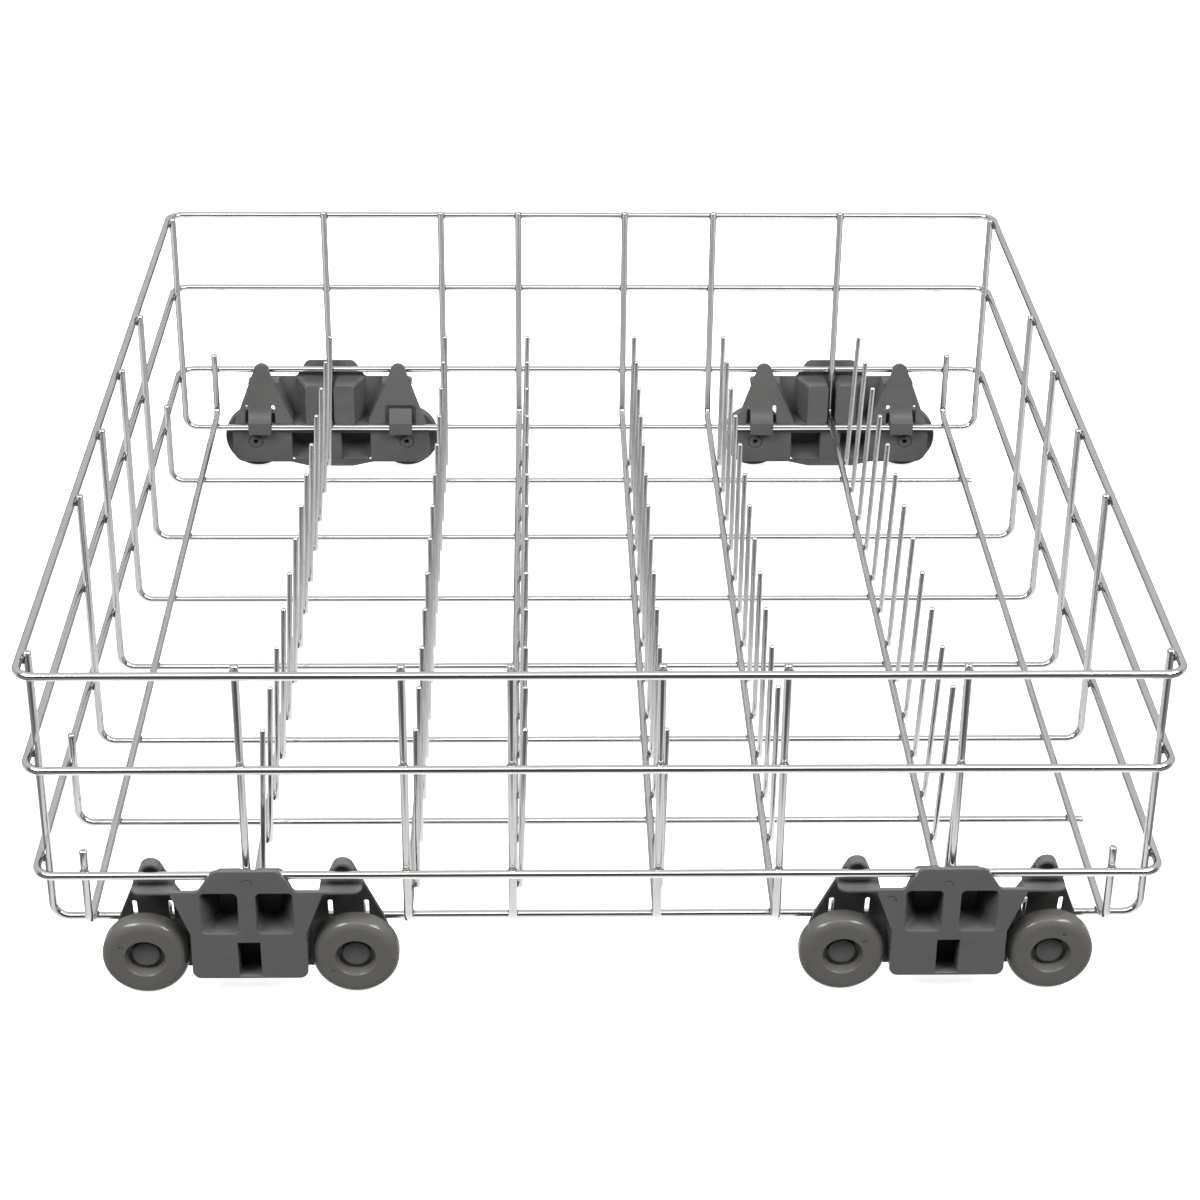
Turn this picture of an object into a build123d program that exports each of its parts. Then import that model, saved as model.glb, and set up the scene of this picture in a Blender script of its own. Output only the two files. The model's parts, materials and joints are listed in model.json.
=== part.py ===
from build123d import *
import math
import os

# Lower dishwasher rack: a welded wire basket on four clip-on carriers with two wheels each.
# Frame: +X to the right, +Y to the back, +Z up; the origin is on the floor under the middle of the rack.
# The wheels turn about Y, so the rack rolls along X. All lengths are in millimetres.

# Wires
ring_wire = 4.0
floor_wire = 3.8
tine_wire = 2.8
weld_sink = 0.15
wire_end_round = 1.1
tine_end_chamfer = 0.45

# Basket
ring_half_width = 254.5
ring_half_depth = 285.3
ring_corner = 9.0
clip_above_axle = 11.1
lower_ring_rise = 33.1
middle_ring_rise = 55.5
rim_rise = 47.8
upright_above_rim = 3.6
cross_bend = 7.5
length_bend = 6.5
cross_pitch = 76.2
end_wire_inset = 16.4
short_cross_stub = 17.5
short_cross_tail = 6.5
short_length_stub = 11.5
wires_each_way = 8
outer_length_inset = 22.2
carrier_inset = 94.9
inner_length_share = [-0.3438, -0.156, 0.103, 0.3179]

# Tines
tines_per_row = 13
tine_length = 86.6
tine_row_lean = [2.6, 0.6, 1.8, 0.7, 0.0, 2.2]
tine_past_wire = 17.3

# Wheels and axle pins
wheel_diameter = 39.8
wheel_width = 9.6
wheel_outer_round = 4.2
wheel_inner_round = 1.0
wheel_spacing = 96.0
hub_mouth = 18.6
hub_floor = 17.2
hub_depth = 5.8
hub_boss = 14.0
hub_boss_length = 4.8
pin_diameter = 7.0
pin_head = 12.9
pin_head_thick = 1.6
pin_collar = 8.0
pin_collar_thick = 0.9
pin_hollow = 3.2
pin_hollow_depth = 7.0
running_gap = 0.08
press_gap = 0.04
wheel_side_play = 0.3

# Carriers
carrier_wall = 2.2
front_wall = 2.4
thin_wall = 1.4
wire_gap = 0.2
band_half_width = 62.7
band_below_axle = 14.3
band_corner = 8.0
band_shoulder = 5.0
band_shoulder_inset = 1.5
shelf_above_wire = 1.3
plate_below_axle = 9.4
plate_corner = 4.0
box_corner = 5.2
wheel_to_box = 1.75
slope_foot_above_wire = 3.8
slope_reach = 8.65
flange_below_ring = 4.25
arm_half_width = 51.9
arm_corner = 4.5
tongue_above_ring = 4.85
tongue_half_width = 14.8
tongue_foot_half_width = 21.8
tongue_corner = 4.5
tongue_foot_round = 3.0
ear_x = 43.2
ear_tip_radius = 4.8
ear_above_ring = 6.0
ear_ring_gap = 3.2
ear_wall_overlap = 0.8
hood_ring_gap = 0.6
hood_wall = 1.7
pocket_inner_x = 4.1
pocket_outer_x = 20.2
pocket_back_outer_x = 13.8
pocket_height = 22.0
pocket_below_ring = 7.0
pocket_corner = 2.5
pocket_wall = 1.6
slot_width = 10.3
opening_height = 19.0
bulge_reach = 6.0
bulge_flat_half_width = 14.0
bulge_round = 8.0
tab_beyond_ear = 1.4
tab_width = 14.5
tab_wall = 1.8
tab_height = 10.8
tab_slot = 2.1
tab_hook = 2.4
axle_counterbore = 9.2

# Heights and positions that follow from the sizes above
wheel_radius = wheel_diameter / 2
axle_z = wheel_radius
cross_z = axle_z + clip_above_axle
length_z = cross_z + floor_wire - weld_sink
lower_ring_z = cross_z + lower_ring_rise
middle_ring_z = lower_ring_z + middle_ring_rise
rim_z = middle_ring_z + rim_rise
upright_top_z = rim_z + upright_above_rim
wire_to_ring = (ring_wire + floor_wire) / 2 - weld_sink
cross_upright_x = ring_half_width - wire_to_ring
length_upright_y = ring_half_depth - wire_to_ring
end_wire_y = ring_half_depth - end_wire_inset
inner_cross_wires = wires_each_way - 2
inner_cross_y = [((inner_cross_wires - 1) / 2 - step) * cross_pitch for step in range(inner_cross_wires)]
cross_wire_y = [end_wire_y] + inner_cross_y + [-end_wire_y]
outer_length_x = ring_half_width - outer_length_inset
carrier_length_x = ring_half_width - carrier_inset
inner_length_x = [share * ring_half_width for share in inner_length_share]
length_wire_x = [-outer_length_x, -carrier_length_x] + inner_length_x + [carrier_length_x, outer_length_x]

# Carrier planes, measured outward from the middle of the rack
band_y = end_wire_y + floor_wire / 2 + wire_gap
band_out_y = band_y + carrier_wall
plate_in_y = ring_half_depth + ring_wire / 2 + wire_gap
plate_out_y = plate_in_y + front_wall
axle_x = wheel_spacing / 2
hub_in_y = band_out_y + wheel_side_play
wheel_in_y = hub_in_y + hub_boss_length
wheel_out_y = wheel_in_y + wheel_width
head_in_y = wheel_out_y - hub_depth + wheel_side_play

# Carrier heights and widths
band_z = axle_z - band_below_axle
shelf_z = cross_z + shelf_above_wire
plate_z = axle_z - plate_below_axle
flange_z = lower_ring_z - ring_wire / 2 - flange_below_ring
box_half_width = axle_x - wheel_radius - wheel_to_box
slope_foot_z = cross_z + slope_foot_above_wire
slope_top_x = box_half_width + slope_reach
slot_half_width = slot_width / 2
rib_half_width = slot_half_width + thin_wall
compartment_top_z = shelf_z - carrier_wall
ear_base_x = band_half_width - band_shoulder_inset
ear_wall_x = ear_x - ear_tip_radius + ear_wall_overlap
tab_x = ear_x + tab_beyond_ear
ear_ring_y = ring_half_depth - ring_wire / 2 - ear_ring_gap - carrier_wall
ear_lean = math.atan2(ear_ring_y - band_y, lower_ring_z - shelf_z)
ear_length = (lower_ring_z + ear_above_ring - shelf_z) / math.cos(ear_lean)
ear_plane = Plane((0, band_y, shelf_z), x_dir=(1, 0, 0), z_dir=(0, -math.cos(ear_lean), math.sin(ear_lean)))


def from_end(number):
    """The place of a numbered wire counted from the nearer end of its set, from 1."""
    return min(number, wires_each_way + 1 - number)


def bent_wire(points, bend, diameter):
    """A round wire along straight runs joined by tangent bends, with rounded ends."""
    path = FilletPolyline(*points, radius=bend)
    section = Plane(origin=path @ 0, z_dir=path % 0) * Circle(diameter / 2)
    wire = sweep(section, path=path)
    ends = wire.edges().filter_by(GeomType.CIRCLE)
    tips = [edge for edge in ends if min((edge.arc_center - path @ end).length for end in (0, 1)) < 0.01]
    return fillet(tips, wire_end_round)


def ring(height):
    """A closed ring of wire round the outside of the basket."""
    outline = RectangleRounded(2 * ring_half_width, 2 * ring_half_depth, ring_corner).wire()
    path = Pos(0, 0, height) * outline
    section = Plane(origin=path @ 0, z_dir=path % 0) * Circle(ring_wire / 2)
    return sweep(section, path=path)


def cross_wire(number):
    """A floor wire along X; the short ones turn up only on the left and end past the last length wire."""
    y = cross_wire_y[number - 1]
    if from_end(number) == 2:
        left_top = lower_ring_z + short_cross_stub
        right = [(outer_length_x + short_cross_tail, y, cross_z)]
    else:
        left_top = upright_top_z
        right = [(cross_upright_x, y, cross_z), (cross_upright_x, y, upright_top_z)]
    left = [(-cross_upright_x, y, left_top), (-cross_upright_x, y, cross_z)]
    return bent_wire(left + right, cross_bend, floor_wire)


def length_wire(number):
    """A floor wire along Y, laid on the cross wires, with both ends turned up inside the rings."""
    x = length_wire_x[number - 1]
    top = lower_ring_z + short_length_stub if from_end(number) == 1 else upright_top_z
    front = [(x, -length_upright_y, top), (x, -length_upright_y, length_z)]
    back = [(x, length_upright_y, length_z), (x, length_upright_y, top)]
    return bent_wire(front + back, length_bend, floor_wire)


def tine_row(number):
    """Straight tines welded to the right side of one length wire, with the row's own lean to the right."""
    x = length_wire_x[number] + (floor_wire + tine_wire) / 2 - weld_sink
    tine = Cylinder(tine_wire / 2, tine_length, align=(Align.CENTER, Align.CENTER, Align.MIN))
    tine = chamfer(tine.edges().group_by(Axis.Z)[-1], tine_end_chamfer)
    lean = Rot(Y=tine_row_lean[number - 1])
    foot_z = length_z - floor_wire / 2
    first_y = inner_cross_y[0] + tine_past_wire
    places = [Pos(x, first_y - step * cross_pitch / 2, foot_z) for step in range(tines_per_row)]
    return Compound([place * lean * tine for place in places])


def wheel():
    """A moulded wheel about Y with a rounded tread and a tapered recess for the pin's head."""
    web_y = wheel_out_y - hub_depth
    bore = pin_diameter / 2 + running_gap
    outline = Polyline(
        (bore, hub_in_y), (hub_boss / 2, hub_in_y), (hub_boss / 2, wheel_in_y), (wheel_radius, wheel_in_y),
        (wheel_radius, wheel_out_y), (hub_mouth / 2, wheel_out_y), (hub_floor / 2, web_y), (bore, web_y),
        close=True)
    profile = make_face(outline)
    for edge_y, rounding in ((wheel_in_y, wheel_inner_round), (wheel_out_y, wheel_outer_round)):
        tread_edge = Vector(wheel_radius, edge_y)
        profile = fillet(profile.vertices().sort_by_distance(tread_edge)[0], rounding)
    return revolve(profile, Axis.Y)


def axle_pin():
    """A headed pin about Y, with a hollow end and a small collar that snaps in behind the band."""
    radius = pin_diameter / 2
    head_out_y = head_in_y + pin_head_thick
    collar_out_y = band_y + pin_collar_thick
    outline = Polyline(
        (pin_hollow / 2, band_y), (pin_collar / 2, band_y), (pin_collar / 2, collar_out_y),
        (radius, collar_out_y), (radius, head_in_y), (pin_head / 2, head_in_y), (pin_head / 2, head_out_y),
        (0, head_out_y), (0, band_y + pin_hollow_depth), (pin_hollow / 2, band_y + pin_hollow_depth),
        close=True)
    return revolve(make_face(outline), Axis.Y)


def mirrored(right):
    """An outline that is the same on both sides of X = 0, from the points of its right side."""
    return right + [(-x, z) for x, z in reversed(right)]


def slab(outline, radii, near_y, far_y):
    """A plate between two distances outward, from a symmetric outline in X and Z."""
    corners = radii + list(reversed(radii))
    face = make_face(FilletPolyline(*mirrored(outline), radius=corners, close=True))
    return extrude(Plane.XZ.offset(-near_y) * face, amount=near_y - far_y)


def flared_slab(near_outline, far_outline, near_y, far_y):
    """A block between two distances outward whose symmetric outline changes from one to the other."""
    faces = []
    for y, outline in ((near_y, near_outline), (far_y, far_outline)):
        faces.append(Plane.XZ.offset(-y) * make_face(Polyline(*mirrored(outline), close=True)))
    return loft(faces, ruled=True)


def side_profile(points, near_x, far_x):
    """A prism between two distances along X, from an outline in Y and Z."""
    return extrude(Plane.YZ.offset(near_x) * make_face(Polyline(*points, close=True)), amount=far_x - near_x)


def both_sides(piece):
    """A piece and its mirror image across X = 0."""
    return [piece, mirror(piece, about=Plane.YZ)]


def front_plate():
    """The outer plate, with a tongue that stands outside the lower ring."""
    right = [
        (box_half_width, plate_z), (box_half_width, slope_foot_z), (slope_top_x, flange_z),
        (tongue_foot_half_width, flange_z), (tongue_half_width, lower_ring_z + tongue_above_ring)]
    radii = [plate_corner, plate_corner, 0, tongue_foot_round, tongue_corner]
    return slab(right, radii, plate_in_y, plate_out_y)


def bottom_z(y):
    """The height of the box's bottom, which slopes from the foot of the band up to the front plate's."""
    return band_z + (plate_z - band_z) * (y - band_y) / (plate_in_y - band_y)


def box_outline(inset, top_x, foot_z):
    """The right side of the box: upright to the foot of its slope, then out to the flange."""
    side = box_half_width - inset
    return [(side, foot_z), (side, slope_foot_z), (top_x - inset, flange_z)]


def round_lower_edge(block, x, height, radius):
    """Rounds the edge of a block that follows the sloping bottom at one distance along X."""
    middle_y = (band_y + plate_in_y) / 2
    middle = Vector(x, middle_y, bottom_z(middle_y) + height)
    return fillet(block.edges().sort_by_distance(middle)[0], radius)


def centre_box():
    """The box behind the front plate: flared side walls, a shelf and two open compartments."""
    wall = carrier_wall
    near_walls = box_outline(0, ear_wall_x, band_z)
    far_walls = box_outline(0, slope_top_x, band_z)
    box = flared_slab(near_walls, far_walls, band_y, plate_in_y)
    near_hollow = box_outline(wall, ear_wall_x, shelf_z) + [(ear_wall_x - wall, flange_z + wall)]
    far_hollow = box_outline(wall, slope_top_x, shelf_z) + [(slope_top_x - wall, flange_z + wall)]
    box -= flared_slab(near_hollow, far_hollow, band_y - wall, plate_in_y)
    leaning_cut = Pos(0, ear_length / 2, ear_length / 2) * Box(2 * arm_half_width, ear_length, ear_length)
    box -= ear_plane * leaning_cut
    box -= side_profile(
        [(band_y, band_z), (plate_in_y, plate_z), (plate_in_y, band_z)], -box_half_width, box_half_width)
    for side in (-1, 1):
        box = round_lower_edge(box, side * box_half_width, 0, box_corner)
    room_x = box_half_width - thin_wall
    compartment = side_profile(
        [(band_y, band_z + thin_wall), (plate_in_y, plate_z + thin_wall),
         (plate_in_y, compartment_top_z), (band_y, compartment_top_z)], rib_half_width, room_x)
    compartment = round_lower_edge(compartment, room_x, thin_wall, box_corner - thin_wall)
    return box - both_sides(compartment)


def band():
    """The inner band that carries the axle pins, with a bulging sill under its two openings."""
    right = [(band_half_width, band_z), (band_half_width, shelf_z - band_shoulder),
             (ear_base_x, shelf_z)]
    plate = slab(right, [band_corner, tongue_foot_round, tongue_foot_round], band_y, band_out_y)
    bulge = mirrored([(box_half_width, band_y), (bulge_flat_half_width, band_y - bulge_reach)])
    sill = make_face(FilletPolyline(*bulge, radius=[0, bulge_round, bulge_round, 0], close=True))
    plate += extrude(Pos(0, 0, band_z) * sill, amount=thin_wall)
    return plate


def ears():
    """Two leaning ears behind the lower ring, each with a rounded hood over it."""
    tip = Pos(ear_x, ear_length - ear_tip_radius) * Circle(ear_tip_radius)
    base = Line((box_half_width - carrier_wall / 2, -wire_gap), (ear_base_x, -wire_gap))
    outline = make_hull(tip.edges() + [base])
    plate = extrude(ear_plane * outline, amount=-carrier_wall)
    above_tip = Pos(ear_x, ear_length) * Rectangle(4 * ear_tip_radius, 2 * ear_tip_radius)
    hood = (outline & above_tip) - offset(outline, -hood_wall)
    reach = carrier_wall + ear_ring_gap - hood_ring_gap
    return both_sides(plate + extrude(ear_plane * hood, amount=-reach))


def arms():
    """The thin roofs over the wheels, from each ear to the front plate, each with one rounded corner."""
    start_y = band_y + (flange_z - shelf_z) * math.tan(ear_lean) + carrier_wall / 2
    near_x = slope_top_x - carrier_wall
    at_corner = (Align.MIN, Align.MIN, Align.MAX)
    roof = Box(arm_half_width - near_x, plate_out_y - start_y, thin_wall, align=at_corner)
    roof = Pos(near_x, start_y, flange_z) * roof
    outer_corner = Vector(arm_half_width, plate_out_y, flange_z)
    upright_edges = roof.edges().filter_by(Axis.Z)
    return both_sides(fillet(upright_edges.sort_by_distance(outer_corner)[0], arm_corner))


def pocket(growth, near_y, far_y, floor_z):
    """A rounded box that widens outward; growth is what its walls add to the hollow."""
    top = lower_ring_z - pocket_below_ring + growth
    widening = (pocket_outer_x - pocket_back_outer_x) / (plate_in_y - band_y)
    faces = []
    for y in (near_y, far_y):
        outer_x = pocket_back_outer_x + widening * (y - band_y)
        width = outer_x - pocket_inner_x + 2 * growth
        rounded = RectangleRounded(width, top - floor_z, pocket_corner)
        centre = Pos((outer_x + pocket_inner_x) / 2, (top + floor_z) / 2)
        faces.append(Plane.XZ.offset(-y) * centre * rounded)
    return loft(faces)


def clip_tab():
    """A sprung tab over the end wire, drawn in Y and Z, with a hook under the wire."""
    tab_y = end_wire_y - floor_wire / 2 - wire_gap - tab_wall / 2
    root_z = cross_z + tab_height
    root_y = band_y + (root_z - shelf_z) * math.tan(ear_lean) + carrier_wall / 2
    foot_z = cross_z - floor_wire / 2 - wire_gap - tab_wall / 2
    bend_z = cross_z + floor_wire
    path = Polyline((root_y, root_z), (tab_y, bend_z), (tab_y, foot_z), (tab_y + tab_hook, foot_z))
    return extrude(Plane.YZ.offset(tab_x - tab_width / 2) * trace(path, tab_wall), amount=tab_width)


def tab_slots():
    """The two slots that free each tab from its ear."""
    height = tab_height - shelf_above_wire + tab_slot
    hole = Plane.XZ * SlotOverall(height, tab_slot, rotation=90)
    deep = extrude(hole, amount=-4 * ear_length, both=True)
    centre_z = shelf_z + height / 2
    slots = []
    for offset_x in (-1, 1):
        slots += both_sides(Pos(tab_x + offset_x * (tab_width + tab_slot) / 2, band_y, centre_z) * deep)
    return slots


def carrier():
    """One moulded carrier at X = 0 on the back wall."""
    body = front_plate() + centre_box() + band() + ears() + arms()
    shell = pocket(pocket_wall, band_y, plate_in_y, shelf_z - carrier_wall / 2)
    body += both_sides(shell)
    pocket_floor = lower_ring_z - pocket_below_ring - pocket_height
    body -= both_sides(pocket(0, band_y + pocket_wall, plate_out_y + carrier_wall, pocket_floor))
    body -= tab_slots()
    body += both_sides(clip_tab())
    opening_width = box_half_width - thin_wall - rib_half_width
    opening = Box(opening_width, 2 * carrier_wall, opening_height, align=(Align.MIN, Align.MAX, Align.MIN))
    body -= both_sides(Pos(rib_half_width, band_out_y, band_z + thin_wall) * opening)
    mouth_y = plate_out_y + carrier_wall
    body -= side_profile(
        [(band_out_y, bottom_z(band_out_y) + thin_wall), (plate_in_y, plate_z + thin_wall),
         (mouth_y, plate_z + thin_wall), (mouth_y, compartment_top_z), (band_out_y, compartment_top_z)],
        -slot_half_width, slot_half_width)
    bore = Rot(X=-90) * Cylinder(pin_diameter / 2 + press_gap, 4 * carrier_wall)
    seat = Rot(X=-90) * Cylinder(axle_counterbore / 2, 2 * pin_collar_thick)
    body -= both_sides(Pos(axle_x, band_y, axle_z) * bore)
    body -= both_sides(Pos(axle_x, band_y, axle_z) * seat)
    return body


def save(name, piece):
    """Writes one named node."""
    piece.label = name
    export_step(piece, f"parts/{name}.step")


os.makedirs("parts", exist_ok=True)
save("top_rim", ring(rim_z))
save("middle_ring", ring(middle_ring_z))
save("lower_ring", ring(lower_ring_z))
for number in range(1, wires_each_way + 1):
    save(f"cross_wire_{number}", cross_wire(number))
    save(f"length_wire_{number}", length_wire(number))
for number in range(1, wires_each_way - 1):
    save(f"tine_row_{number}", tine_row(number))

moulded_carrier = carrier()
moulded_wheel = wheel()
headed_pin = axle_pin()
sides = {"left": -carrier_length_x, "right": carrier_length_x}
for wall, turn in (("front", 180), ("back", 0)):
    for side, x in sides.items():
        place = Pos(x, 0, 0) * Rot(Z=turn)
        save(f"{wall}_{side}_carrier", place * moulded_carrier)
        for end, wheel_x in (("outer", math.copysign(axle_x, x)), ("inner", -math.copysign(axle_x, x))):
            axle = Pos(x + wheel_x, 0, axle_z) * Rot(Z=turn)
            save(f"{wall}_{side}_{end}_wheel", axle * moulded_wheel)
            save(f"{wall}_{side}_{end}_axle_pin", axle * headed_pin)
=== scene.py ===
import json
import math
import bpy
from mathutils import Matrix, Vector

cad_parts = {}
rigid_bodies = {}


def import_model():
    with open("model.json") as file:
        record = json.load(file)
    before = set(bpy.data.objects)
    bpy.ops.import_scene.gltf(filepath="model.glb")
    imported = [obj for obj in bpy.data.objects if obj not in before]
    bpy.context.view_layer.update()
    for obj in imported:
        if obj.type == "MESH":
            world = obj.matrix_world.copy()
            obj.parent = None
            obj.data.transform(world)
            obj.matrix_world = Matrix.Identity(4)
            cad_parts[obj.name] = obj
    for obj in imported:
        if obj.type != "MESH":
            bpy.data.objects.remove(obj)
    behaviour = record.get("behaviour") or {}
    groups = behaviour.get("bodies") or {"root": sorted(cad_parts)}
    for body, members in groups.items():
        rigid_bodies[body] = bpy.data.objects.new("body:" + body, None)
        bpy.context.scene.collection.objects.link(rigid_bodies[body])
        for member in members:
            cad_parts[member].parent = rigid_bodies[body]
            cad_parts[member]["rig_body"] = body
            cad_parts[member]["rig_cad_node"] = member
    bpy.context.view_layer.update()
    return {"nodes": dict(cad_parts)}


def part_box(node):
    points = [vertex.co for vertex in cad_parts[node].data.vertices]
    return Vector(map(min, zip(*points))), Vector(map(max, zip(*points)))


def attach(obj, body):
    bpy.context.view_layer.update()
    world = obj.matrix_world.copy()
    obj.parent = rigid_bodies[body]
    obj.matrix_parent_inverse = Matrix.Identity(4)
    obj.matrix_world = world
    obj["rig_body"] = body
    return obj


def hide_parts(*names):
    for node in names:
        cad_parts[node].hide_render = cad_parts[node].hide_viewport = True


bl_info = {
    "name": "Lower Dishwasher Rack",
    "version": (1, 0, 0),
    "blender": (4, 5, 0),
    "location": "View3D > Sidebar > Rack",
    "description": "Dresses the CAD frame of a wheeled wire rack with its wires, mouldings and stage",
    "category": "Add Mesh",
}

import bmesh
import bpy
from bpy.props import FloatProperty, FloatVectorProperty, IntProperty, PointerProperty
from mathutils import Matrix, Vector

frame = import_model()

RINGS = ("top_rim", "middle_ring", "lower_ring")
CROSS_WIRES = tuple(f"cross_wire_{number}" for number in range(1, 9))
LENGTH_WIRES = tuple(f"length_wire_{number}" for number in range(1, 9))
TINE_ROWS = tuple(f"tine_row_{number}" for number in range(1, 7))
CORNERS = tuple((wall, side) for wall in ("front", "back") for side in ("left", "right"))
WHEELS = tuple((wall, side, end) for wall, side in CORNERS for end in ("outer", "inner"))
BASKET = "basket"
MM = 0.001

# Limits that steer the modelling
MERGE_REACH = 0.000002
TOUCH_REACH = 4.0 * MM
SHORTEST_STEP = 0.3 * MM
EVEN_SIDES = 2.0 * MM
RIM_REACH = 0.00002
HEAT_STEPS = (-1.0, -0.45, 0.0, 0.45, 1.0)
QUARTER_TURN = math.radians(90)
WIRE_SMOOTH = math.radians(40)
BEAD_SMOOTH = math.radians(60)
MOULD_SMOOTH = math.radians(38)
FLAT_ANGLE = math.radians(0.8)
SHARP_ANGLE = math.radians(32)

# Marks left by the moulds: where the crescents sit on a tongue, and the angle of each wheel's pip
PLAIN_CRESCENTS = ((0.5 * MM, 61.85 * MM),)
CRESCENTS = {("front", "right"): ((-2.2 * MM, 59.85 * MM), (-27.7 * MM, 51.85 * MM))}
CRESCENT_TURNS = ((math.radians(20), 2), (math.radians(130), 14))
CRESCENT_SIDES = 8
PLAIN_PIP = 300
PIPS = {("front", "left", "outer"): 150, ("front", "left", "inner"): 214,
        ("front", "right", "inner"): 40, ("front", "right", "outer"): 64}

# Gloss and tool grain of each plastic
PLASTICS = (("carrier", 0.20, 0.06), ("wheel", 0.12, 0.04), ("pin", 0.26, 0.06))

# The studio: lamps as name, place, size, power and whether the steel mirrors them
LAMPS = (("strip_light", (0.0, -1.05, 1.55), (2.4, 0.7), 14, True),
         ("left_light", (-1.0, -0.8, 1.2), (0.9, 0.5), 28, True),
         ("right_light", (1.0, -0.8, 1.2), (0.9, 0.5), 28, True),
         ("back_light", (0.0, 1.3, 0.9), (2.4, 0.7), 32, False))
DOME_BEHIND = [(0.0, 0.45), (0.26, 0.58), (0.5, 0.6), (0.9, 0.72)]
DOME_BEFORE = [(0.0, 0.05), (0.68, 0.09), (0.8, 0.32), (0.9, 0.65)]
SKY_SHARE = 0.25
FLOOR_SPAN = 9
FLOOR_LEVEL = -0.0002

# Fields of the floor that the steel mirrors, painted light and painted shade: where each one fades, in
# metres from the middle
UNDER_ACROSS = (0.24, 0.27)
UNDER_ALONG = (0.26, 0.29)
NEAR_ACROSS = (0.26, 0.33)
NEAR_ALONG = (0.40, 0.50)
BESIDE_ALONG = (0.24, 0.28)
AROUND_ACROSS = (0.26, 0.40)

# The camera that took the picture: pitch, yaw and roll in degrees, lens and sensor in mm
CAMERA_PLACE = (-0.02842, -1.30071, 0.75211)
CAMERA_TURN = (28.3237, 1.5154, 0.6282)
CAMERA_LENS = 81.12
CAMERA_SENSOR = 36

# A cap on bounced light, against specks between the wires
BRIGHTEST_BOUNCE = 1.0


# Sizes and colours that a user would change

def length(name, description, value):
    return FloatProperty(name=name, description=description, default=value, unit="LENGTH", precision=5)


def count(name, description, value, least):
    return IntProperty(name=name, description=description, default=value, min=least)


def colour(name, description, value):
    return FloatVectorProperty(name=name, description=description, default=value,
                               subtype="COLOR", min=0, max=1)


class RackWireSizes(bpy.types.PropertyGroup):
    sides: count("Sides", "Flats round a wire before smoothing", 20, 8)
    bend_steps: count("Bend steps", "Sections in each quarter bend", 9, 3)
    ring_wire: length("Ring wire", "Thickness of the three rings", 4.0 * MM)
    floor_wire: length("Floor wire", "Thickness of the cross and length wires", 3.8 * MM)
    tine_wire: length("Tine wire", "Thickness of the tines", 2.8 * MM)
    ring_corner: length("Ring corner", "Bend at the corners of the rings, on the wire's middle", 9.0 * MM)
    cross_bend: length("Cross wire bend", "Bend where a cross wire turns up", 7.5 * MM)
    length_bend: length("Length wire bend", "Bend where a length wire turns up", 6.5 * MM)
    end_round: length("End rounding", "Rounding on a tumbled wire end", 0.85 * MM)
    end_dish: length("End dish", "Hollow left by the shear in a wire's end", 0.18 * MM)
    tine_count: count("Tines", "Tines in a row", 13, 1)
    tine_pitch: length("Tine pitch", "Distance between neighbouring tines", 38.1 * MM)
    tine_sink: length("Tine sink", "How far a weld draws a tine into its wire", 0.15 * MM)
    tine_leans: FloatVectorProperty(name="Tine leans", size=6, default=(2.6, 0.6, 1.8, 0.7, 0.0, 2.2),
                                    description="Lean of each row to the right, in degrees")
    weld_reach: length("Weld tint reach", "How far the heat of a weld tints a wire", 4.5 * MM)
    bead_radius: length("Bead radius", "Half width of the metal squeezed out of a weld", 2.5 * MM)
    bead_thickness: length("Bead thickness", "Thickness of the metal squeezed out of a weld", 1.9 * MM)
    bead_ragged: length("Bead raggedness", "How uneven a bead is", 0.18 * MM)
    bead_roll: FloatProperty(name="Bead roll", description="Turn from one bead to the next", default=2.4)


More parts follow.
